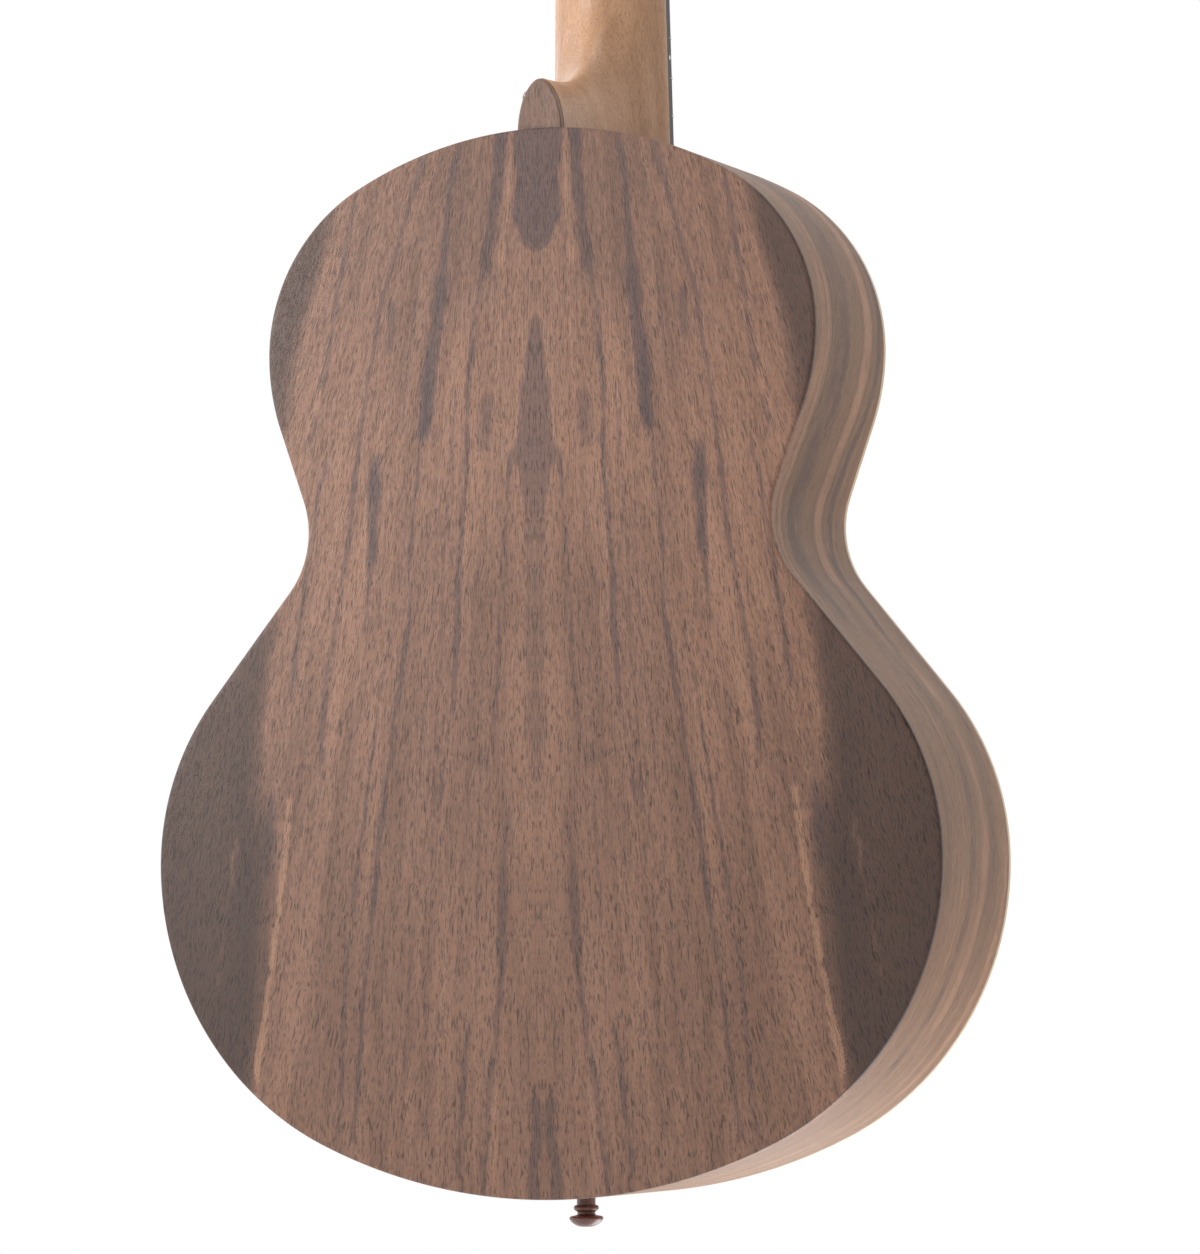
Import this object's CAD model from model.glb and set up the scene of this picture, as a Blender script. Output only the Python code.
import math

import bpy
import numpy as np
from mathutils import Matrix, Vector


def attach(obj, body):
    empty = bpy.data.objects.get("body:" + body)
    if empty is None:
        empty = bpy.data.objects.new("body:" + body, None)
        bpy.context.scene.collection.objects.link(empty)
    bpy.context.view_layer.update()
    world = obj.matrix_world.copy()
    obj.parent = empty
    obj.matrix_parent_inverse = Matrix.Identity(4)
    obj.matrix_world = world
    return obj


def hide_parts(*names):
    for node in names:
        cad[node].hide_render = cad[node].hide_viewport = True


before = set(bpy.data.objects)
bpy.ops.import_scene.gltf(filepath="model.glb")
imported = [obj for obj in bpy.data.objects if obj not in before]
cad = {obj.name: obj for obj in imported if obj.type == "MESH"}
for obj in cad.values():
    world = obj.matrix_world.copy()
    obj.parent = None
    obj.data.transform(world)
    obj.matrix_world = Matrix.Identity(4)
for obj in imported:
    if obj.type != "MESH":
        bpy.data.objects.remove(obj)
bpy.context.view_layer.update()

# ---- Camera: behind the bass side, level with the lower bout, with a long lens.
eye = Vector((-0.99507, 2.61328, 0.08749))
right = Vector((-0.93540, -0.35335, -0.01291))
up = Vector((-0.03348, 0.05217, 0.99808))
camera_data = bpy.data.cameras.new("camera")
camera_data.lens = 177.2
camera_data.sensor_fit = "VERTICAL"
camera_data.sensor_height = 36
camera_data.clip_end = 50
camera = bpy.data.objects.new("camera", camera_data)
camera.matrix_world = Matrix.Translation(eye) @ Matrix((right, up, right.cross(up))).transposed().to_4x4()
scene = bpy.context.scene
scene.collection.objects.link(camera)
scene.camera = camera

# ---- Studio: a white surround, brightest in front of the guitar and a little dimmer on the bass side. Two
# soft boxes stand on the treble side, with a fill above and a glow from below, over a pale floor under the
# tail.
scene.view_settings.view_transform = "Standard"


def add(tree, kind, inputs=None, **settings):
    """A shader node with its settings, and constants or linked sockets on its inputs."""
    made = tree.nodes.new("ShaderNode" + kind)
    for name, value in settings.items():
        setattr(made, name, value)
    for name, value in (inputs or {}).items():
        if isinstance(value, bpy.types.NodeSocket):
            tree.links.new(value, made.inputs[name])
        else:
            made.inputs[name].default_value = value
    return made


def calc(tree, operation, *values):
    """One arithmetic step on constants or sockets."""
    return add(tree, "Math", dict(enumerate(values)), operation=operation).outputs[0]


world = bpy.data.worlds.new("studio")
world.use_nodes = True
scene.world = world
sky = world.node_tree
direction = add(sky, "SeparateXYZ", {0: add(sky, "TexCoord").outputs["Generated"]})
surround = add(sky, "MapRange", {0: direction.outputs["Y"], "From Min": -0.5, "From Max": 0.9,
                                 "To Min": 1.05, "To Max": 0.13}, interpolation_type="SMOOTHSTEP")
bass_side = add(sky, "MapRange", {0: direction.outputs["X"], "From Min": -0.9, "From Max": 0.3,
                                  "To Min": 0.78, "To Max": 1.0}).outputs[0]
seen = add(sky, "LightPath").outputs["Is Camera Ray"]
level = add(sky, "Mix", {0: seen, 2: calc(sky, "MULTIPLY", surround.outputs[0], bass_side), 3: 1.0},
            data_type="FLOAT")
sky.links.new(level.outputs[0], sky.nodes["Background"].inputs["Strength"])
sky.nodes["Background"].inputs["Color"].default_value = (1, 1, 1, 1)


def soft_box(name, spot, towards, width, height, power):
    """An oblong area light at a spot, turned towards a point."""
    light = bpy.data.lights.new(name, "AREA")
    light.shape = "RECTANGLE"
    light.size, light.size_y = width, height
    light.energy = power
    lamp = bpy.data.objects.new(name, light)
    aim = (Vector(towards) - Vector(spot)).to_track_quat("-Z", "Y").to_matrix().to_4x4()
    lamp.matrix_world = Matrix.Translation(spot) @ aim
    lamp.visible_camera = False
    scene.collection.objects.link(lamp)


soft_box("left_box", (1.30, 1.40, 0.95), (0, 0, 0.3), 0.9, 1.5, 28)
soft_box("side_box", (1.67, 0.30, 0.75), (0, 0, 0.5), 1.3, 1.6, 9)
soft_box("top_fill", (-0.3, 0.6, 2.6), (0, 0, 0.3), 1.4, 1.4, 14)
soft_box("table_glow", (-0.2, -0.12, -0.25), (-0.15, 0, 0.1), 0.5, 0.35, 1.9)


def mesh_object(name, points, faces, sharp=None):
    """A smooth object from points in millimetres and lists of corner numbers, creased past an angle."""
    mesh = bpy.data.meshes.new(name)
    corners = [[int(corner) for corner in face] for face in faces]
    mesh.from_pydata((np.asarray(points, float) / 1000).tolist(), [], corners)
    mesh.shade_smooth()
    if sharp is not None:
        mesh.set_sharp_from_angle(angle=math.radians(sharp))
    made = bpy.data.objects.new(name, mesh)
    scene.collection.objects.link(made)
    return made


FLOOR_RADIUS, FLOOR_LEVEL, FLOOR_SIDES = 5300, -260.0, 96
turns = np.linspace(0, 2 * math.pi, FLOOR_SIDES + 1)[:-1]
floor_edge = np.stack([FLOOR_RADIUS * np.cos(turns), FLOOR_RADIUS * np.sin(turns),
                       np.full(FLOOR_SIDES, FLOOR_LEVEL)], 1)
floor = mesh_object("floor", floor_edge, [range(FLOOR_SIDES)])
floor_paint = bpy.data.materials.new("floor_paint")
floor_paint.use_nodes = True
floor_shader = floor_paint.node_tree.nodes["Principled BSDF"]
floor_shader.inputs["Base Color"].default_value = (0.9, 0.9, 0.9, 1)
floor_shader.inputs["Roughness"].default_value = 0.9
floor.data.materials.append(floor_paint)

# ---- Back: two bookmatched walnut plates, arched like a shallow dome and glued on the centreline, with the
# outer edge rounded over by hand. The grain is open under a satin lacquer, and dark streaks run down it.
FRONT, BODY_DEPTH = -52.5, 108.0
DOME_RADIUS, DOME_Z = 3600.0, 190.0
DOME_Y = FRONT + BODY_DEPTH - DOME_RADIUS


def half_outline(count):
    """Points, outward normals and distances run round half the body's plan, tail to neck, evenly spaced.

    Tangent arcs: tail, lower bout below and above its widest, waist, upper bout below and above its widest,
    shoulder. A point is its arc's centre plus the radius times the outward direction, and straight lines join
    the arcs end to end.
    """
    length, low_z, waist_z, up_z = 480.0, 150.2, 301.1, 383.7
    tail_r, low_r, waist_r, up_r, neck_r = 139.4, 120.1, 42.9, 103.9, 84.0
    tail_bout, low_bout = np.array([186.6 - tail_r, low_z]), np.array([186.6 - low_r, low_z])
    hollow = np.array([110.9 + waist_r, waist_z])
    up_bout, neck_bout = np.array([131.3 - up_r, up_z]), np.array([131.3 - neck_r, up_z])
    tail_big = (tail_bout[0] ** 2 + low_z ** 2 - tail_r ** 2) / (2 * (low_z - tail_r))
    rise = length - up_z
    neck_big = (neck_bout[0] ** 2 + rise ** 2 - neck_r ** 2) / (2 * (rise - neck_r))
    tail_centre, neck_centre = np.array([0, tail_big]), np.array([0, length - neck_big])

    def heading(start, end):
        return math.atan2(end[1] - start[1], end[0] - start[0])

    tail_turn, neck_turn = heading(tail_centre, tail_bout), heading(neck_centre, neck_bout)
    low_turn = heading(low_bout, hollow) - math.acos((low_r + waist_r) / np.linalg.norm(hollow - low_bout))
    up_turn = heading(up_bout, hollow) + math.acos((up_r + waist_r) / np.linalg.norm(hollow - up_bout))
    arcs = [(tail_centre, tail_big, -math.pi / 2, tail_turn), (tail_bout, tail_r, tail_turn, 0),
            (low_bout, low_r, 0, low_turn), (hollow, -waist_r, low_turn, up_turn),
            (up_bout, up_r, up_turn, 0), (neck_bout, neck_r, 0, neck_turn),
            (neck_centre, neck_big, neck_turn, math.pi / 2)]
    places, normals = [], []
    for centre, radius, start, end in arcs:
        turns = np.linspace(start, end, 400)
        outward = np.stack([np.cos(turns), np.sin(turns)], 1)
        places.append(centre + radius * outward)
        normals.append(outward)
    places, normals = np.concatenate(places), np.concatenate(normals)
    run = np.concatenate([[0], np.cumsum(np.linalg.norm(np.diff(places, axis=0), axis=1))])
    even = np.linspace(0.05, run[-1] - 0.05, count)
    place = np.stack([np.interp(even, run, places[:, k]) for k in (0, 1)], 1)
    normal = np.stack([np.interp(even, run, normals[:, k]) for k in (0, 1)], 1)
    return place, normal / np.linalg.norm(normal, axis=1, keepdims=True), even


def dome(x, z, below=0.0):
    """Height of the back's arch over a point of the plan, on the sphere that lies a distance below it."""
    return DOME_Y + np.sqrt((DOME_RADIUS - below) ** 2 - x ** 2 - (z - DOME_Z) ** 2)


def ring_grid(name, grid, flip=False, sharp=None):
    """A closed object from rows of closed loops: each cell is a face, and the end rows are capped."""
    rows, columns = grid.shape[:2]
    index = np.arange(rows * columns).reshape(rows, columns)
    after = np.roll(index, -1, axis=1)
    cells = np.stack([index[:-1], after[:-1], after[1:], index[1:]], -1).reshape(-1, 4)
    faces = cells.tolist() + [index[0, ::-1].tolist(), index[-1].tolist()]
    if flip:
        faces = [face[::-1] for face in faces]
    return mesh_object(name, grid.reshape(-1, 3), faces, sharp=sharp)


def mark(made, **values):
    """Named numbers on every point of an object, for its material."""
    for name, value in values.items():
        attribute = made.data.attributes.new(name, "FLOAT", "POINT")
        attribute.data.foreach_set("value", np.ascontiguousarray(value, np.float32).ravel())


def step(low, high, value):
    """A smooth step from 0 at low to 1 at high."""
    t = np.clip((value - low) / (high - low), 0, 1)
    return t * t * (3 - 2 * t)


def rough(across, along, wide, long, seed):
    """Smooth random numbers from -1 to 1 over the plan, in cells of a width and a length."""
    table = np.random.default_rng(seed).uniform(-1, 1, (97, 89))
    a, b = across / wide + 1000, along / long + 1000
    i, j = np.floor(a).astype(int), np.floor(b).astype(int)
    s, t = step(0, 1, a - i), step(0, 1, b - j)
    low = table[i % 97, j % 89] * (1 - s) + table[(i + 1) % 97, j % 89] * s
    high = table[i % 97, (j + 1) % 89] * (1 - s) + table[(i + 1) % 97, (j + 1) % 89] * s
    return low * (1 - t) + high * t


def veins(across, along, lines, fade=9.0):
    """The strongest of several veins, each a width, a strength and a path of (along, across) points.

    A vein is the strength times a flat-topped bell: the exponential of minus the cube of the distance from
    its path over its width. It fades at both ends, and its edge wanders by a random millimetre or so.
    """
    total = np.zeros_like(across)
    wander = 0.9 * rough(across, along, 5, 8, 3) + 1.1 * rough(across, along, 30, 33, 4)
    uneven = 0.85 + 0.3 * rough(across, along, 6, 14, 5)
    for width, strength, path in lines:
        at, place = np.array(path, float).T
        gap = across - np.interp(along, at, place) + wander * min(1.0, 0.35 + width / 4)
        ends = step(at[0] - fade, at[0], along) * step(at[-1] + fade, at[-1], along)
        total = np.maximum(total, strength * uneven * ends * np.exp(-np.abs(gap / width) ** 3))
    return np.clip(total, 0, 1)


BACK_DARK = [
    (3.0, 0.80, [(418, 24.5), (430, 22.5), (450, 19.5), (482, 17)]),
    (1.5, 0.60, [(278, 36.5), (320, 33.5), (350, 32.5), (380, 30.5), (400, 29.5), (418, 25)]),
    (2.0, 0.65, [(250, 38), (262, 37.5), (275, 37)]),
    (1.3, 0.55, [(180, 46), (200, 43.5), (220, 40.5), (240, 38.5), (250, 38)]),
    (3.4, 0.85, [(345, 54), (355, 52.5), (375, 50), (395, 47.5), (412, 45.5)]),
    (2.2, 0.50, [(412, 45.5), (430, 44), (450, 42.5), (472, 38.5)]),
    (1.3, 0.60, [(185, 72.5), (210, 68.5), (235, 64.5), (260, 61.5), (290, 59.5), (310, 58.5), (340, 55.5)]),
    (1.6, 0.60, [(30, 92.5), (50, 89.5), (70, 87.5), (95, 84.5), (120, 81.5), (140, 78.5), (160, 76.5),
                 (185, 72.5)]),
    (1.4, 0.45, [(30, 99.5), (55, 97.5), (80, 95.5), (100, 93.5), (125, 90.5), (145, 87.5), (165, 84.5),
                 (185, 81.5), (205, 78.5), (225, 75.5), (250, 70.5)]),
    (2.0, 0.40, [(25, 100), (50, 98), (75, 96)]),
    (1.5, 0.52, [(195, 105.5), (215, 103.5), (235, 101.5), (255, 98.5), (270, 95.5), (290, 92.5), (310, 89.5),
                 (330, 86.5), (350, 84.5), (370, 81.5), (385, 78.5), (400, 76.5), (410, 73.5), (425, 68.5),
                 (440, 64.5), (455, 60.5)]),
    (3.0, 0.50, [(456, 60), (464, 57), (478, 53)]),
    (2.6, 0.50, [(386, 70.5), (400, 70)]),
    (1.7, 0.60, [(368, 103.5), (390, 100.5), (410, 96.5), (425, 93.5), (445, 90.5), (462, 87)]),
    (3.3, 0.80, [(290, 79.5), (300, 79.3), (315, 78.5), (331, 77.5)]),
    (1.6, 0.50, [(258, 82.5), (275, 80.5), (290, 79.5)]),
    (1.8, 0.50, [(228, 119.5), (245, 117.5), (262, 115.5), (285, 111.5), (310, 107.5), (332, 102.5)]),
    (1.2, 0.42, [(190, 23.5), (215, 20.5), (245, 17.5), (275, 15.5), (300, 14.5), (330, 12.5)]),
    (2.4, 0.42, [(8, 29.5), (35, 26.5), (60, 23.5), (90, 19.5), (110, 18.5), (140, 16.5), (170, 13.5)]),
    (1.7, 0.50, [(14, 41.5), (35, 39.5), (55, 36.5), (75, 34.5)]),
    (1.2, 0.35, [(22, 59), (40, 56), (60, 52.5), (80, 48.5)]),
    (3.4, 0.45, [(0, 5), (20, 4), (42, 3)]),
    (4.4, 0.42, [(338, 24.5), (345, 24), (358, 22.5)]),
    (2.6, 0.40, [(340, 110), (352, 108)]),
    (1.3, 0.35, [(150, 51), (180, 49), (230, 46), (300, 43), (360, 38)]),
    (1.2, 0.30, [(60, 66), (100, 63), (150, 60), (220, 53), (300, 47)]),
    (1.2, 0.30, [(60, 111), (100, 107), (150, 99), (180, 94), (230, 88)]),
    (1.3, 0.32, [(90, 31), (130, 29), (180, 27), (240, 25.5)]),
    (1.4, 0.35, [(350, 64), (380, 61), (420, 57), (460, 50)]),
    (3.0, 0.45, [(150, 133), (165, 131.5), (180, 130)])]
BACK_LIGHT = [
    (1.5, 0.80, [(58, 139), (80, 134.5), (100, 131), (125, 127.5), (150, 124.5), (178, 120.5)]),
    (3.0, 0.20, [(100, 157), (125, 153.5), (145, 150.5), (165, 146.5), (185, 141.5)]),
    (3.0, 0.30, [(420, 17), (440, 15), (470, 13)]), (5.0, 0.20, [(420, 33), (450, 30), (475, 27)]),
    (3.0, 0.20, [(120, 75), (150, 72), (180, 68)]), (4.0, 0.22, [(200, 112), (230, 106), (260, 104)]),
    (8.0, 0.20, [(30, 110), (60, 114), (90, 116)]), (3.0, 0.18, [(330, 66), (370, 60), (410, 54)]),
    (3.0, 0.18, [(240, 58), (290, 54), (330, 50)]), (2.5, 0.20, [(60, 45), (120, 40), (200, 34)]),
    (3.0, 0.18, [(300, 98), (340, 93), (380, 88), (430, 78)])]


def back_figure(x, z):
    """Grain position and figure of the back from places across and along it, the same on both halves.

    The grain's position is the distance from the centreline over a fan that widens towards the tail, plus a
    slow wander. Patches lie over the drawn veins, a grey wedge fills each bout's flank, and the shade is an
    overall factor along the plate.
    """
    u = np.abs(x)
    grain = u / (1 + 0.00186 * (240 - z)) + 0.8 * rough(u, z, 25, 40, 6)
    dark = veins(u, z, BACK_DARK)
    loose = u + 1.6 * rough(u, z, 4, 9, 7) + 1.5 * rough(u, z, 12, 25, 8)
    # A teardrop on the centreline, a faint stripe below it, and a rounded patch under the heel.
    tear = np.interp(z, [250, 290, 312, 328, 345, 365, 402], [2.0, 3.5, 6.5, 9.5, 9.5, 7.5, 1.0])
    inside_tear = step(tear + 2.5, tear - 2.5, loose)
    dark = np.maximum(dark, 0.5 * inside_tear * step(255, 335, z) * step(404, 385, z))
    dark = np.maximum(dark, 0.26 * step(8, 3, loose) * step(165, 200, z) * step(318, 300, z))
    cap = 11.5 * np.sqrt(np.clip((z - 423) / 16, 0, 1))
    dark = np.maximum(dark, 0.72 * step(cap + 1.8, cap - 1.8, loose) * step(420, 430, z))
    # A pale bar across the foot of that patch.
    light = veins(u, z, BACK_LIGHT)
    light = np.maximum(light, 0.16 * step(34, 26, u) * np.exp(-((z - 416) / 4) ** 2))
    # The grey wedges of the lower and the upper bout, outside an edge that wanders, over a faint grey cloud.
    edge = np.interp(z, [40, 60, 75, 100, 125, 150, 165, 178, 190, 215, 240, 262],
                     [144, 141, 138.5, 134.5, 131.5, 129, 130, 134, 136.5, 134.5, 130.5, 126.5])
    edge = edge + 1.5 * rough(u, z, 6, 24, 9)
    grey = (0.92 + 0.08 * rough(u, z, 12, 60, 13)) * step(edge - 7, edge + 8, u) * step(288, 255, z)
    edge = np.interp(z, [330, 350, 375, 395, 410, 430, 455], [128, 121, 118, 114, 109, 102, 97])
    edge = edge + 1.5 * rough(u, z, 6, 24, 10)
    grey = np.maximum(grey, 0.9 * step(edge - 7, edge + 8, u) * step(322, 348, z))
    grey = np.maximum(grey, 0.18 * step(330, 440, z) + 0.12 * (1 + rough(u, z, 30, 90, 11)))
    shade = np.interp(z, [0, 60, 130, 240, 330, 480], [0.80, 0.76, 0.78, 0.92, 1.02, 1.12])
    return dict(grain=grain, along=z, dark=dark, light=light, grey=grey, shade=shade)


def group(name, inputs, outputs):
    """A shader group with named sockets, given as name and kind, or name, kind and default."""
    tree = bpy.data.node_groups.new(name, "ShaderNodeTree")
    for socket, kind, *value in inputs:
        made = tree.interface.new_socket(name=socket, in_out="INPUT", socket_type="NodeSocket" + kind)
        if value:
            made.default_value = value[0]
    for socket, kind in outputs:
        tree.interface.new_socket(name=socket, in_out="OUTPUT", socket_type="NodeSocket" + kind)
    return tree, tree.nodes.new("NodeGroupInput").outputs, tree.nodes.new("NodeGroupOutput")


def noise(tree, position, stretch, detail, roughness=0.5, distortion=0.0):
    """Smooth noise over a position in millimetres stretched by three factors."""
    spot = add(tree, "VectorMath", {0: position, 1: stretch}, operation="MULTIPLY").outputs[0]
    made = add(tree, "TexNoise", {"Vector": spot, "Scale": 1.0, "Detail": detail, "Roughness": roughness,
                                  "Distortion": distortion})
    return made.outputs[0]


def blend_colour(tree, amount, first, second):
    """Two colours mixed by an amount."""
    return add(tree, "Mix", {0: amount, 6: first, 7: second}, data_type="RGBA").outputs[2]


# Wood: broad bands, fine lines and pores, all drawn out along the grain (the position's third axis).
wood, given, result = group("wood", [("Position", "Vector"), ("Pale", "Color"), ("Deep", "Color"),
                                     ("Lines", "Float", 1.0)],
                            [("Color", "Color"), ("Height", "Float"), ("Pits", "Float")])
sway = add(wood, "VectorMath", {0: given["Position"], 1: (0.06, 0.06, 0.05)}, operation="MULTIPLY").outputs[0]
sway = add(wood, "TexNoise", {"Vector": sway, "Scale": 1.0, "Detail": 2.0}).outputs["Color"]
sway = add(wood, "VectorMath", {0: sway, 1: (0.5, 0.5, 0.5)}, operation="SUBTRACT").outputs[0]
swayed = add(wood, "VectorMath", {0: sway, 1: (3.2, 3.2, 0.0), 2: given["Position"]},
             operation="MULTIPLY_ADD").outputs[0]
bands = noise(wood, swayed, (0.09, 0.09, 0.006), 2.0)
lines = noise(wood, swayed, (0.5, 0.5, 0.016), 5.0, 0.68)
coarse = noise(wood, swayed, (2.1, 2.1, 0.17), 2.0, 0.5)
fine = noise(wood, swayed, (3.6, 3.6, 0.30), 1.0)
coarse = add(wood, "MapRange", {0: coarse, "From Min": 0.56, "From Max": 0.63}).outputs[0]
fine = add(wood, "MapRange", {0: fine, "From Min": 0.55, "From Max": 0.65}).outputs[0]
pits = calc(wood, "MAXIMUM", coarse, calc(wood, "MULTIPLY", fine, 0.6))
tone = calc(wood, "MULTIPLY_ADD", calc(wood, "SUBTRACT", lines, 0.5), given["Lines"], bands)
tone = add(wood, "MapRange", {0: tone, "From Min": 0.15, "From Max": 0.85}).outputs[0]
colour = blend_colour(wood, tone, given["Deep"], given["Pale"])
wood.links.new(colour, result.inputs["Color"])
relief = calc(wood, "MULTIPLY_ADD", pits, -1.0, calc(wood, "MULTIPLY", lines, 0.3))
wood.links.new(relief, result.inputs["Height"])
wood.links.new(pits, result.inputs["Pits"])

# Open pores: a wood's colour darkened in its pits, and by an overall shade.
pitted, given, result = group("pitted", [("Color", "Color"), ("Pits", "Float"), ("Depth", "Float", 0.5),
                                         ("Shade", "Float", 1.0)],
                              [("Color", "Color")])
kept = calc(pitted, "SUBTRACT", 1.0, calc(pitted, "MULTIPLY", given["Pits"], given["Depth"]))
kept = calc(pitted, "MULTIPLY", kept, given["Shade"])
shade = add(pitted, "VectorMath", {0: given["Color"], "Scale": kept}, operation="SCALE").outputs[0]
pitted.links.new(shade, result.inputs["Color"])

# Figure: dark, light and grey marks laid over a wood's colour. Their edges are broken up by fine noise
# drawn out along the grain, so that a soft mark comes out ragged.
figure, given, result = group("figure", [("Color", "Color"), ("Position", "Vector"), ("Dark", "Float"),
                                         ("Light", "Float"), ("Grey", "Float")], [("Color", "Color")])
ragged = calc(figure, "SUBTRACT", noise(figure, given["Position"], (0.9, 0.9, 0.12), 3.0, 0.6), 0.5)
colour = given["Color"]
FIGURE = {"Grey": (0.5, (0.088, 0.046, 0.034, 1)), "Light": (0.5, (0.50, 0.27, 0.165, 1)),
          "Dark": (0.8, (0.088, 0.054, 0.053, 1))}
for kind, (reach, tint) in FIGURE.items():
    amount = given[kind]
    torn = calc(figure, "MULTIPLY_ADD", ragged, reach, amount)
    torn = add(figure, "MapRange", {0: torn, "From Min": 0.1, "From Max": 0.38},
               interpolation_type="SMOOTHSTEP")
    amount = calc(figure, "MULTIPLY", torn.outputs[0], calc(figure, "MULTIPLY_ADD", amount, 0.78, 0.22))
    colour = blend_colour(figure, amount, colour, tint)
figure.links.new(colour, result.inputs["Color"])

# Wear: slow, faint unevenness of a polished surface, for roughness.
wear, given, result = group("wear", [("Position", "Vector"), ("Roughness", "Float", 0.3),
                                     ("Spread", "Float", 0.1)], [("Roughness", "Float")])
cloud = noise(wear, given["Position"], (0.09, 0.09, 0.06), 4.0, 0.65)
uneven = calc(wear, "MULTIPLY_ADD", calc(wear, "SUBTRACT", cloud, 0.5), given["Spread"], given["Roughness"])
wear.links.new(uneven, result.inputs["Roughness"])


def use(tree, shared, **inputs):
    """A shared group inside a material."""
    made = tree.nodes.new("ShaderNodeGroup")
    made.node_tree = shared
    for name, value in inputs.items():
        if isinstance(value, bpy.types.NodeSocket):
            tree.links.new(value, made.inputs[name])
        else:
            made.inputs[name].default_value = value
    return made.outputs


def material(name, metallic=0.0, coat=0.0, coat_roughness=0.1):
    """An empty material: its node tree, its shader and the object's own position in millimetres."""
    made = bpy.data.materials.new(name)
    made.use_nodes = True
    tree = made.node_tree
    shader = tree.nodes["Principled BSDF"]
    shader.inputs["Metallic"].default_value = metallic
    shader.inputs["Coat Weight"].default_value = coat
    shader.inputs["Coat Roughness"].default_value = coat_roughness
    own = add(tree, "TexCoord").outputs["Object"]
    place = add(tree, "VectorMath", {0: own, "Scale": 1000.0}, operation="SCALE").outputs[0]
    return made, tree, shader, place


def surface(tree, shader, colour, roughness, height=None, depth=0.1):
    """Link colour, roughness and a bump of a depth in millimetres to a material's shader."""
    tree.links.new(colour, shader.inputs["Base Color"])
    tree.links.new(roughness, shader.inputs["Roughness"])
    if height is not None:
        bump = add(tree, "Bump", {"Strength": 1.0, "Distance": depth / 1000, "Height": height})
        tree.links.new(bump.outputs[0], shader.inputs["Normal"])


def marked_wood(name, pale, deep, roughness, gloss, lines, pores):
    """Walnut laid out by the grain, along, dark, light and grey numbers on an object's points."""
    made, tree, shader, place = material(name)
    shader.inputs["Specular IOR Level"].default_value = gloss
    read = {word: add(tree, "Attribute", attribute_name=word).outputs["Fac"]
            for word in ("grain", "along", "dark", "light", "grey", "shade")}
    spot = add(tree, "CombineXYZ", {0: read["grain"], 2: read["along"]}).outputs[0]
    grown = use(tree, wood, Position=spot, Pale=pale, Deep=deep, Lines=lines)
    drawn = use(tree, figure, Color=grown["Color"], Position=spot, Dark=read["dark"], Light=read["light"],
                Grey=read["grey"])
    drawn = use(tree, pitted, Color=drawn["Color"], Pits=grown["Pits"], Depth=pores, Shade=read["shade"])
    worn = use(tree, wear, Position=place, Roughness=roughness, Spread=0.08)
    surface(tree, shader, drawn["Color"], worn["Roughness"], grown["Height"], 0.05)
    return made


walnut_back = marked_wood("walnut_back", (0.40, 0.208, 0.135, 1), (0.205, 0.102, 0.064, 1), roughness=0.40,
                          gloss=0.5, lines=1.1, pores=0.62)
EDGE_ROUND, BACK_WALL = 1.2, 2.4
outline, outward, run = half_outline(430)
inner = outline - EDGE_ROUND * outward
HALVES = {"treble": 1, "bass": -1}
outwards, inwards = np.linspace(0, 1, 100), np.linspace(1, 0, 24)[1:]
for name, side in HALVES.items():
    # A loop goes out from the centreline over the top, round the edge, down it, and back underneath.
    x = inner[:, :1] * outwards
    z = np.repeat(inner[:, 1:], len(outwards), 1)
    top = np.stack([side * x, dome(x, z), z], -1)
    rim = []
    for lean in np.linspace(0, math.pi / 2, 5)[1:]:
        out = inner + EDGE_ROUND * math.sin(lean) * outward
        height = dome(inner[:, 0], inner[:, 1]) - EDGE_ROUND * (1 - math.cos(lean))
        rim.append(np.stack([side * out[:, 0], height, out[:, 1]], -1))
    foot = np.stack([side * outline[:, 0], dome(outline[:, 0], outline[:, 1], BACK_WALL), outline[:, 1]], -1)
    x = inner[:, :1] * inwards
    z = np.repeat(inner[:, 1:], len(inwards), 1)
    under = np.stack([side * x, dome(x, z, BACK_WALL), z], -1)
    grid = np.concatenate([top, np.stack(rim + [foot], 1), under], 1)
    panel = ring_grid("back_panel_" + name, grid, flip=side > 0, sharp=50)
    mark(panel, **back_figure(grid[..., 0], grid[..., 2]))
    panel.data.materials.append(walnut_back)
    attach(panel, "guitar")
    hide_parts("back_" + name)

# ---- Sides: two walnut ribs bent to the outline, from the tail seam to the neck, standing between the
# soundboard and the back. Their stripes run along the rib and drift towards the soundboard at the neck end.
SIDE_WALL, TOP_WALL = 2.2, 2.8
SIDE_DARK = [(13, 0.40, [(395, 40), (680, 40)]), (4.5, 0.50, [(400, -8), (680, -10)]),
             (5.5, 0.32, [(180, 4), (350, 3)]), (4.0, 0.25, [(240, -19), (290, -33)]),
             (2.5, 0.3, [(240, -33), (370, -34)]), (1.6, 0.3, [(60, 27), (340, 28)]),
             (1.4, 0.4, [(400, 57), (600, 57)]), (2, 0.3, [(20, -20), (240, -21)]),
             (2, 0.3, [(20, 46), (260, 44)])]
SIDE_LIGHT = [(2.0, 0.5, [(425, 61), (500, 63), (585, 62.5)]), (5.5, 0.4, [(410, 70), (620, 70)]),
              (6.0, 0.6, [(425, 6), (500, 8), (680, 6)]), (1.7, 0.35, [(225, 16.5), (345, 15.5)]),
              (7.0, 0.35, [(200, -14), (350, -13)]), (4.0, 0.4, [(150, -47), (420, -45)]),
              (7.0, 0.2, [(60, 33), (330, 33)]), (4.0, 0.3, [(20, -30), (200, -31)])]


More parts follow.
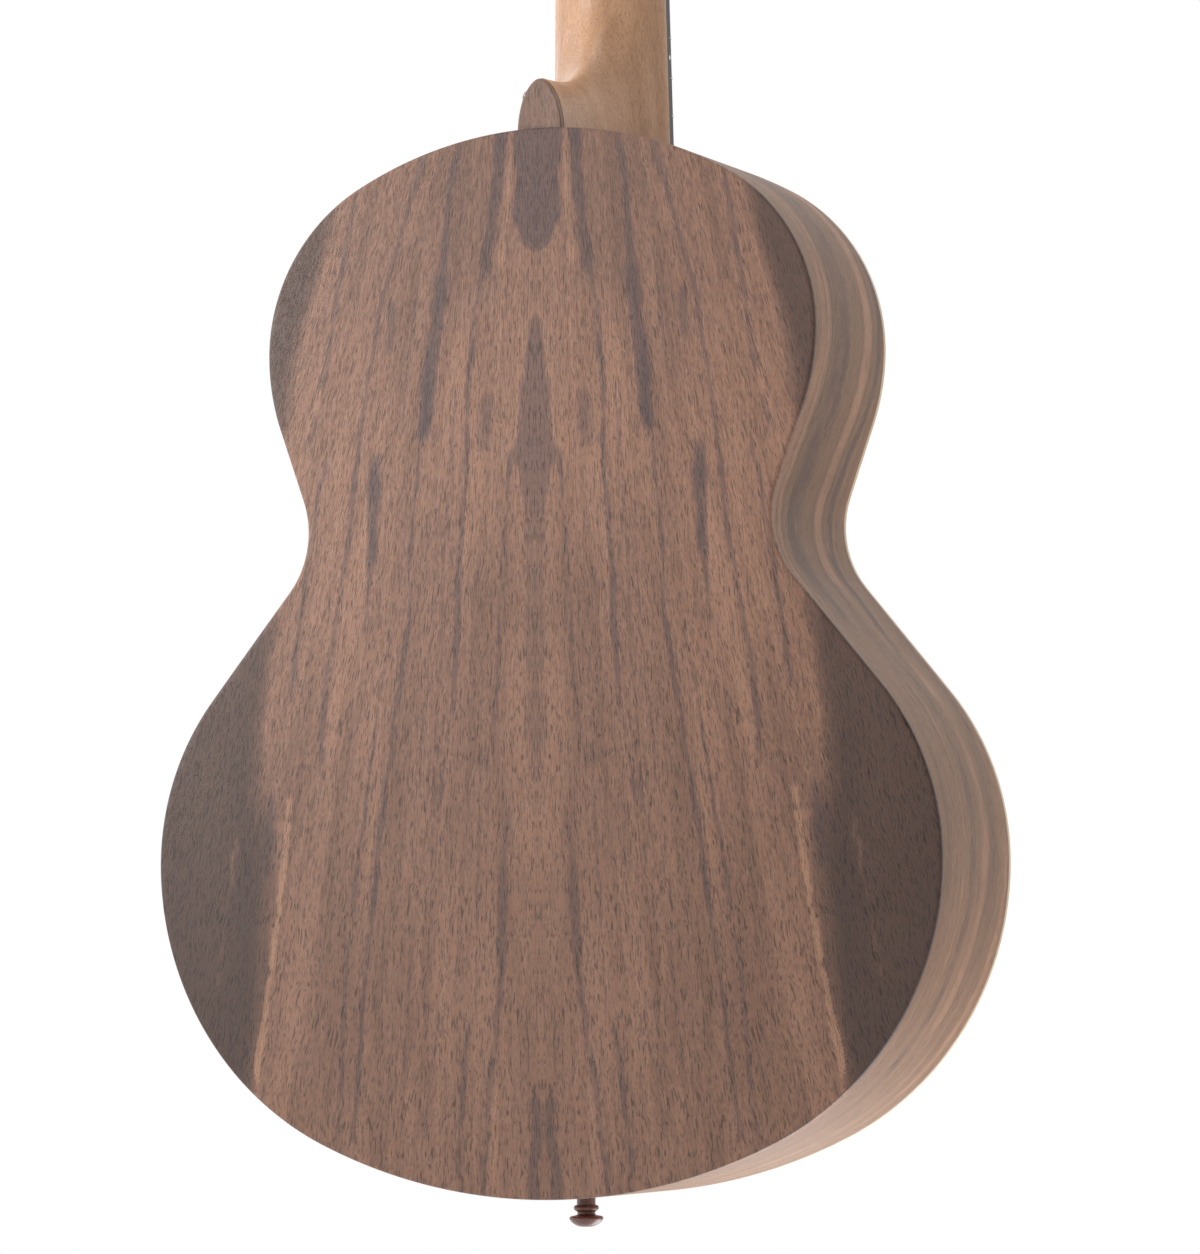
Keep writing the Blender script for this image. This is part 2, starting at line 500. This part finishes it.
def side_figure(along, y):
    """Grain position and figure of a rib from places along it and across it.

    The grain's position is the place across, plus a drift that grows along the rib and steepens past the
    waist, plus two slow sines. Its number is shifted so that a rib's noise isn't the back's.
    """
    drift = 0.09 * (np.minimum(along, 385) - 270) + 0.17 * np.maximum(along - 385, 0)
    grain = y + drift + 0.8 * np.sin(along / 47) + 0.4 * np.sin(along / 19 + y / 15)
    return dict(grain=grain + 300, along=along, dark=veins(grain, along, SIDE_DARK, 50.0),
                light=veins(grain, along, SIDE_LIGHT, 50.0),
                grey=0.13 + 0.10 * rough(grain, along, 9, 90, 12),
                shade=np.interp(along, [0, 60, 160, 400], [1.25, 1.2, 1.0, 1.0]))


walnut_side = marked_wood("walnut_side", (0.35, 0.192, 0.112, 1), (0.205, 0.112, 0.067, 1), roughness=0.5,
                          gloss=0.32, lines=0.5, pores=0.35)
wall_in = outline - SIDE_WALL * outward
low = FRONT + TOP_WALL
outer_top = dome(outline[:, 0], outline[:, 1], BACK_WALL)
inner_top = dome(wall_in[:, 0], wall_in[:, 1], BACK_WALL)


def wall(plan, high, share):
    """A face of a rib: at each point of the plan, heights from the soundboard up to the back's underside."""
    rise = low + (high[:, None] - low) * share
    return np.stack([np.repeat(plan[:, :1], len(share), 1), rise, np.repeat(plan[:, 1:], len(share), 1)], -1)


for name, side in HALVES.items():
    # A loop goes up the rib's outer face and down its inner one.
    grid = np.concatenate([wall(outline, outer_top, np.linspace(0, 1, 66)),
                           wall(wall_in, inner_top, np.linspace(1, 0, 8))], 1) * (side, 1, 1)
    rib = ring_grid("rib_" + name, grid, flip=side < 0, sharp=40)
    mark(rib, **side_figure(np.repeat(run[:, None], grid.shape[1], 1), grid[..., 1]))
    rib.data.materials.append(walnut_side)
    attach(rib, "guitar")
    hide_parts("side_" + name)

# ---- Neck: one piece of mahogany with its heel and headstock, carved by hand so that the shaft runs into the
# heel and the headstock in fair curves. It is bored for the posts and varnished.
HEAD_TILT = math.radians(14)
VENEER, HEAD_WOOD = 1.8, 14.5
UP = np.array([0, math.sin(HEAD_TILT), math.cos(HEAD_TILT)])
OUT = np.array([0, -math.cos(HEAD_TILT), math.sin(HEAD_TILT)])
HEAD_ORIGIN = np.array([0, FRONT, 835.4]) - VENEER * OUT


def head(x, along, out):
    """A point of the headstock's frame: across, up its face from the nut, and out of the wood's face."""
    return (HEAD_ORIGIN + np.multiply.outer(x, [1, 0, 0]) + np.multiply.outer(along, UP)
            + np.multiply.outer(out, OUT))


def through(first, middle, last, steps):
    """Points of the circle's arc through three points of a plane."""
    (ax, ay), (bx, by), (cx, cy) = first, middle, last
    twice = 2 * (ax * (by - cy) + bx * (cy - ay) + cx * (ay - by))
    sa, sb, sc = ax * ax + ay * ay, bx * bx + by * by, cx * cx + cy * cy
    ox = (sa * (by - cy) + sb * (cy - ay) + sc * (ay - by)) / twice
    oy = (sa * (cx - bx) + sb * (ax - cx) + sc * (bx - ax)) / twice
    turns = np.unwrap([math.atan2(y - oy, x - ox) for x, y in (first, middle, last)])
    turns = np.linspace(turns[0], turns[2], steps)
    radius = math.hypot(ax - ox, ay - oy)
    return np.stack([ox + radius * np.cos(turns), oy + radius * np.sin(turns)], 1)


# Half of the headstock's outline, as width and height above the nut.
shoulder = through((22.25, 2), (25.25, 15), (33, 28), 24)
tip = through((37, 164), (20.35, 171.5), (0.05, 176), 40)
outline_head = np.concatenate([[(22.25, 0.2)], shoulder, np.stack([np.linspace(33, 37, 40)[1:-1],
                               np.linspace(28, 164, 40)[1:-1]], 1), tip])


def shaft_depth(z):
    """Depth of the shaft behind its face: a straight line from 17.8 mm near the heel to 15.5 at the nut."""
    return 17.8 + (15.5 - 17.8) * (z - 470) / (835.4 - 470)


def board_half(z):
    """Half width of the neck's face: a straight line from 28.25 mm at the body to 22.25 at the nut."""
    return 28.25 + (22.25 - 28.25) * (z - 480) / (829.4 - 480)


HEEL_FOOT, HEEL_DEPTH = 478, 90.5
CAP_HALF, CAP_REACH, CAP_POWER = 10.65, 24.6, 1.15


def heel_square(depth, z):
    """Square of the neck's half width at a depth behind its face and a height.

    The shaft's is an ellipse. The heel's is its half width at that depth, squared, times a power of one less
    the square of the height over the heel's reach. The result is their mean plus the root of their half
    difference squared plus a fairing squared: the larger of the two, with a smooth hollow where they meet.
    """
    shaft = board_half(z) ** 2 * (1 - (depth / shaft_depth(z)) ** 2)
    half = CAP_HALF + 17.6 * np.clip(1 - depth / HEEL_DEPTH, 0, 1) ** 2.2
    reach = CAP_REACH + 47 * np.exp(-(depth - 17) / 15)
    rest = 1 - ((z - HEEL_FOOT) / reach) ** 2
    heel = half ** 2 * np.sign(rest) * np.abs(rest) ** CAP_POWER
    fair = 170 * step(5, 18, depth) * step(640, 585, z)
    return (shaft + heel) / 2 + np.sqrt(((shaft - heel) / 2) ** 2 + fair ** 2)


sweep = np.linspace(0, math.pi / 2, 25)
loops = []
# Straight planes across the heel, then a fan of planes about a point outside the crook of heel and shaft.
# Each gives one loop: from where the plane enters the wood to the face or foot, the width is the root of
# the square.
CROOK_DEPTH, CROOK_Z = 75.0, 575.0
fans = [(depth, 0.0, -1.0, CROOK_Z) for depth in np.linspace(HEEL_DEPTH, CROOK_DEPTH, 8)[:-1]]
fans += [(CROOK_DEPTH, -math.cos(lean), -math.sin(lean), CROOK_Z)
         for lean in np.linspace(math.pi / 2, 0, 60)]
fans += [(CROOK_DEPTH, -1.0, 0.0, z) for z in np.linspace(CROOK_Z, 700, 16)[1:]]
for depth, step_depth, step_z, z in fans:
    to_face = depth / -step_depth if step_depth < -1e-9 else 1e9
    to_foot = (z - HEEL_FOOT) / -step_z if step_z < -1e-9 else 1e9
    far = min(to_face, to_foot)
    walk = np.linspace(0, far, 4000)
    inside = heel_square(depth + step_depth * walk, z + step_z * walk) > 0
    near = walk[np.argmax(inside)]
    ray = far + (near - far) * np.sin(sweep)
    deep, high = depth + step_depth * ray, z + step_z * ray
    width = np.sqrt(np.maximum(heel_square(deep, high), 0))
    width[-1] = 0
    loops.append(np.stack([width, FRONT + deep, high], -1))
# Planes across the shaft, its section growing squarer near the nut, and on up the headstock.
bars = [(board_half(z), np.array([0, FRONT, z]), np.array([0, FRONT + shaft_depth(z), z]),
         2 + 6 * step(790, 832, z)) for z in np.linspace(700, 826, 34)[1:]]
bars += [(22.25, np.array([0, FRONT, 831.0]), np.array([0, FRONT + 15.6, 828.6]), 8),
         (22.25, np.array([0, FRONT, 834.9]), np.array([0, FRONT + 15.7, 831.2]), 8)]
bars += [(x, head(0.0, y, 0.0), head(0.0, y, -HEAD_WOOD), 8 + 3 * step(0, 40, y)) for x, y in outline_head]
for half, face, rear, square in bars:
    share = np.sin(sweep) ** (2 / square)
    loop = face + share[:, None] * (rear - face)
    loop[:, 0] = half * np.clip(np.cos(sweep), 0, 1) ** (2 / square)
    loops.append(loop)
loops = np.array(loops)
mirrored = loops[:, -2::-1] * (-1, 1, 1)
neck = ring_grid("neck_carved", np.concatenate([loops, mirrored], 1), flip=True, sharp=35)
POSTS = {number: (24.5 if number <= 3 else -24.5, 42.0 + 40.0 * (number - 1 if number <= 3 else 6 - number))
         for number in range(1, 7)}


def tube(start, end, radius, sides=40):
    """Rows of a straight round bar between two points, for ring_grid."""
    start, end = np.asarray(start, float), np.asarray(end, float)
    axis = (end - start) / np.linalg.norm(end - start)
    first = np.cross(axis, [1, 0, 0] if abs(axis[0]) < 0.9 else [0, 1, 0])
    first /= np.linalg.norm(first)
    second = np.cross(axis, first)
    turns = np.linspace(0, 2 * math.pi, sides + 1)[:-1, None]
    ring = radius * (np.cos(turns) * first + np.sin(turns) * second)
    return np.stack([start + ring, end + ring])


def boolean(target, tools):
    """Cut closed tools out of an object for good."""
    for tool in tools:
        cutter = target.modifiers.new("bore", "BOOLEAN")
        cutter.operation = "DIFFERENCE"
        cutter.solver = "EXACT"
        cutter.object = tool
    bpy.context.view_layer.update()
    bored = bpy.data.meshes.new_from_object(target.evaluated_get(bpy.context.evaluated_depsgraph_get()))
    target.modifiers.clear()
    target.data = bored
    for tool in tools:
        bpy.data.objects.remove(tool)


BORE_RADIUS, BORE_OVERSHOOT = 3.9, 3.0
bores = [ring_grid("bore_%d" % number,
                   tube(head(x, y, BORE_OVERSHOOT), head(x, y, -HEAD_WOOD - BORE_OVERSHOOT), BORE_RADIUS))
         for number, (x, y) in POSTS.items()]
boolean(neck, bores)
neck.data.set_sharp_from_angle(angle=math.radians(35))


def plain_wood(name, pale, deep, roughness, turned=(0, 0, 0), coat=0.0, lines=1.0, pores=0.45, depth=0.03,
               stretch=(1, 1, 1), gloss=0.5):
    """A plain wood with its grain along z, or turned to another axis by angles in degrees."""
    made, tree, shader, place = material(name, coat=coat, coat_roughness=0.2)
    shader.inputs["Specular IOR Level"].default_value = gloss
    lay = add(tree, "Mapping", {"Vector": place, "Rotation": [math.radians(a) for a in turned],
                                "Scale": stretch}).outputs[0]
    grown = use(tree, wood, Position=lay, Pale=pale, Deep=deep, Lines=lines)
    holed = use(tree, pitted, Color=grown["Color"], Pits=grown["Pits"], Depth=pores)
    worn = use(tree, wear, Position=place, Roughness=roughness, Spread=0.1)
    surface(tree, shader, holed["Color"], worn["Roughness"], grown["Height"], depth)
    return made


mahogany = plain_wood("mahogany", (0.67, 0.40, 0.245, 1), (0.47, 0.258, 0.15, 1), 0.2, lines=0.7,
                      pores=0.28, gloss=0.28)
neck.data.materials.append(mahogany)
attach(neck, "guitar")
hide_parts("neck")

# ---- Heel cap: a thin walnut plate glued on the end of the heel, cut to its outline, with its grain
# upright and its edge eased with a file.
CAP_WALL = 4.0
arch = np.linspace(0, math.pi, 61)
across = CAP_HALF * np.sign(np.cos(arch)) * np.abs(np.cos(arch)) ** CAP_POWER
cap_edge = np.stack([across, np.zeros(61), HEEL_FOOT + CAP_REACH * np.sin(arch)], 1)
cap_faces = [cap_edge + (0, FRONT + depth, 0) for depth in (HEEL_DEPTH, HEEL_DEPTH + CAP_WALL)]
cap = ring_grid("cap_plate", np.stack(cap_faces), flip=True, sharp=35)
easing = cap.modifiers.new("easing", "BEVEL")
easing.width, easing.segments, easing.limit_method = 0.0007, 3, "ANGLE"
easing.angle_limit = math.radians(40)
walnut_cap = plain_wood("walnut_cap", (0.31, 0.185, 0.135, 1), (0.19, 0.107, 0.076, 1), 0.45, pores=0.5)
cap.data.materials.append(walnut_cap)
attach(cap, "guitar")
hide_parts("heel_cap")

# ---- Soundboard and the woodwork inside: two bookmatched plates of straight-grained spruce under clear
# lacquer, spruce braces glued across the grain, and bare linings, blocks and bridge plate of a plain brown
# wood.


def finish_with(made, *names):
    """Give CAD pieces a material."""
    for name in names:
        cad[name].data.materials.clear()
        cad[name].data.materials.append(made)


spruce = plain_wood("spruce", (0.74, 0.55, 0.32, 1), (0.55, 0.34, 0.16, 1), 0.3, coat=0.3, lines=1.5,
                    pores=0.04, stretch=(2.4, 1, 0.08))
finish_with(spruce, "soundboard_bass", "soundboard_treble")
brace_spruce = plain_wood("brace_spruce", (0.78, 0.62, 0.42, 1), (0.62, 0.44, 0.25, 1), 0.7,
                          turned=(0, 90, 0), lines=1.2, pores=0.05)
finish_with(brace_spruce, "top_braces", "back_braces", "back_seam_strip")
lining = plain_wood("lining_wood", (0.6, 0.4, 0.25, 1), (0.42, 0.26, 0.14, 1), 0.7, pores=0.5)
finish_with(lining, "top_linings", "back_linings", "neck_block", "tail_block", "bridge_plate")

# ---- Rosette: black and pale purfling let into the soundboard round the soundhole, on both sides of a band
# of small inlaid blocks. The rings are sines of the radius, and the blocks a sine of the turn times one of
# the radius.
ROSETTE_LEVEL, BAND_RADIUS, BAND_HALF = 338.0, 56.75, 2.2
rosette, tree, shader, place = material("rosette_inlay", coat=0.3)
parts = add(tree, "SeparateXYZ", {0: place}).outputs
rise = calc(tree, "SUBTRACT", parts["Z"], ROSETTE_LEVEL)
squares = calc(tree, "ADD", calc(tree, "MULTIPLY", parts["X"], parts["X"]),
               calc(tree, "MULTIPLY", rise, rise))
radius = calc(tree, "SQRT", squares)
blocks = calc(tree, "SINE", calc(tree, "MULTIPLY", calc(tree, "ARCTAN2", parts["X"], rise), 60.0))
courses = calc(tree, "SINE", calc(tree, "MULTIPLY", radius, 3.6))
checks = calc(tree, "GREATER_THAN", calc(tree, "MULTIPLY", blocks, courses), 0.0)
mosaic = blend_colour(tree, checks, (0.09, 0.035, 0.02, 1), (0.55, 0.40, 0.22, 1))
from_band = calc(tree, "ABSOLUTE", calc(tree, "SUBTRACT", radius, BAND_RADIUS))
in_band = calc(tree, "LESS_THAN", from_band, BAND_HALF)
rings = calc(tree, "GREATER_THAN", calc(tree, "SINE", calc(tree, "MULTIPLY", radius, 8.0)), 0.0)
purfling = blend_colour(tree, rings, (0.02, 0.015, 0.013, 1), (0.68, 0.56, 0.38, 1))
inlay = blend_colour(tree, in_band, purfling, mosaic)
worn = use(tree, wear, Position=place, Roughness=0.3, Spread=0.1)
surface(tree, shader, inlay, worn["Roughness"])
finish_with(rosette, "rosette")

# ---- Fingerboard, bridge and headplate: the fingerboard and bridge are black close-grained wood, oiled and
# glued down, and the headplate is a thin dark veneer, lacquered with the headstock.
ebony = plain_wood("ebony", (0.035, 0.026, 0.022, 1), (0.012, 0.009, 0.008, 1), 0.42, lines=1.2, pores=0.6)
finish_with(ebony, "fingerboard")
ebony_bridge = plain_wood("ebony_bridge", (0.035, 0.026, 0.022, 1), (0.012, 0.009, 0.008, 1), 0.42,
                          turned=(0, 90, 0), lines=1.2, pores=0.6)
finish_with(ebony_bridge, "bridge")
veneer = plain_wood("veneer", (0.11, 0.05, 0.03, 1), (0.04, 0.02, 0.014, 1), 0.22, coat=0.7)
finish_with(veneer, "headplate")

# ---- Frets, nut, saddle, pins and dots: frets of nickel silver wire pressed into sawn slots, a nut and
# saddle of polished bone, black pins pushed into the bridge, and round pearl spots let into the
# fingerboard.


def plain(name, colour, roughness, metallic=0.0, coat=0.0, second=None, stretch=(0.2, 0.2, 0.2), spread=0.12):
    """A plain stuff: two near colours mixed by noise, and an uneven polish."""
    made, tree, shader, place = material(name, metallic=metallic, coat=coat)
    other = second or [0.8 * part for part in colour]
    cloud = noise(tree, place, stretch, 4.0, 0.6)
    tint = blend_colour(tree, cloud, (*colour, 1), (*other, 1))
    worn = use(tree, wear, Position=place, Roughness=roughness, Spread=spread)
    surface(tree, shader, tint, worn["Roughness"])
    return made


finish_with(plain("nickel_silver", (0.66, 0.63, 0.58), 0.24, 1.0), "frets")
bone = plain("bone", (0.80, 0.74, 0.60), 0.3, second=(0.70, 0.62, 0.46), stretch=(0.3, 1.2, 1.2))
finish_with(bone, "nut", "saddle")
finish_with(plain("pin_plastic", (0.02, 0.02, 0.02), 0.2), "bridge_pins")
pearl = plain("pearl", (0.78, 0.80, 0.76), 0.2, second=(0.55, 0.66, 0.62), stretch=(0.6, 0.6, 0.3), coat=0.5)
finish_with(pearl, "position_dots")

# ---- End pin, strap button and hidden steel: a turned rosewood pin pushed into the tail, a small dark
# chromed button screwed to the heel, and the steel truss rod and neck bolts inside.
rosewood = plain_wood("turned_rosewood", (0.19, 0.062, 0.045, 1), (0.085, 0.028, 0.021, 1), 0.28, coat=0.4,
                      lines=1.2)
finish_with(rosewood, "end_pin")
finish_with(plain("dark_chrome", (0.42, 0.40, 0.39), 0.14, 1.0), "strap_button")
finish_with(plain("steel", (0.5, 0.5, 0.5), 0.35, 1.0), "truss_rod", "neck_bolts")

# ---- Tuners: plates screwed to the back of the headstock, worms and bushings, all nickel plated, with plated
# brass posts and gears, and cream buttons moulded on the worms' shafts.
nickel = plain("nickel", (0.62, 0.60, 0.56), 0.2, 1.0)
finish_with(nickel, "tuner_plates", "tuner_screws", "tuner_bushings", *("tuner_worm_%d" % n for n in POSTS))
finish_with(plain("post_brass", (0.62, 0.55, 0.40), 0.22, 1.0), *("tuner_post_%d" % n for n in POSTS))
finish_with(plain("button_cream", (0.72, 0.63, 0.44), 0.25, second=(0.60, 0.49, 0.30), coat=0.4),
            *("tuner_button_%d" % n for n in POSTS))

# ---- Strings: two of plain steel wire and four with a bronze winding, whose ridges are a sine along the
# string. Each ends in a coil round its post, and the coil turns with the post.
plain_string = plain("plain_string", (0.66, 0.66, 0.66), 0.22, 1.0)
wound, tree, shader, place = material("wound_string", metallic=1.0)
ridges = calc(tree, "SINE", calc(tree, "MULTIPLY", add(tree, "SeparateXYZ", {0: place}).outputs["Z"], 25.0))
bronze = blend_colour(tree, calc(tree, "MULTIPLY_ADD", ridges, 0.25, 0.5), (0.30, 0.17, 0.08, 1),
                      (0.72, 0.50, 0.27, 1))
worn = use(tree, wear, Position=place, Roughness=0.3, Spread=0.1)
surface(tree, shader, bronze, worn["Roughness"], ridges, 0.05)
finish_with(plain_string, "string_1", "string_2")
finish_with(wound, "string_3", "string_4", "string_5", "string_6")


def swept(path, radius, sides=12):
    """Rows of a round wire along a path, with a radius for each point of it.

    A ring is its point plus the radius times the cosine and sine of the turn, along two directions square to
    the path. The first is square to the post's axis as well.
    """
    path = np.asarray(path, float)
    along = np.gradient(path, axis=0)
    along /= np.linalg.norm(along, axis=1, keepdims=True)
    side = np.cross(along, OUT)
    side /= np.linalg.norm(side, axis=1, keepdims=True)
    other = np.cross(along, side)
    turns = np.linspace(0, 2 * math.pi, sides + 1)[None, :-1, None]
    ring = np.cos(turns) * side[:, None] + np.sin(turns) * other[:, None]
    return path[:, None] + radius[:, None, None] * ring


POST_RADIUS, LEAVE_RADIUS, WIND_LIFT, WIND_GAP = 3.0, 3.9, 7.0, 0.04
GAUGES = {1: 0.305, 2: 0.406, 3: 0.61, 4: 0.813, 5: 1.067, 6: 1.346}
for number, width in GAUGES.items():
    x, y = POSTS[number]
    side = math.copysign(1, x)
    # A coil from where the string meets the post down towards the bushing. It closes in on the post over its
    # first half turn, and starts thinner, so that it stays inside the string's end as the post turns.
    windings = 4 if number < 4 else 2.5
    turns = np.linspace(-0.02, 2 * math.pi * windings, int(48 * windings))
    tight = POST_RADIUS + width / 2 + WIND_GAP / 2
    coil_radius = tight + (LEAVE_RADIUS - tight) * step(3.0, 0.2, turns)
    thickness = width / 2 * (0.4 + 0.6 * step(0.28, 0.5, turns))
    lift = VENEER + WIND_LIFT - (width + WIND_GAP) * turns / (2 * math.pi)
    path = head(x - side * coil_radius * np.cos(turns), y + coil_radius * np.sin(turns), lift)
    coil = ring_grid("wrap_%d" % number, swept(path, thickness))
    coil.data.materials.append(plain_string if number < 3 else wound)
    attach(coil, "post_%d" % number)
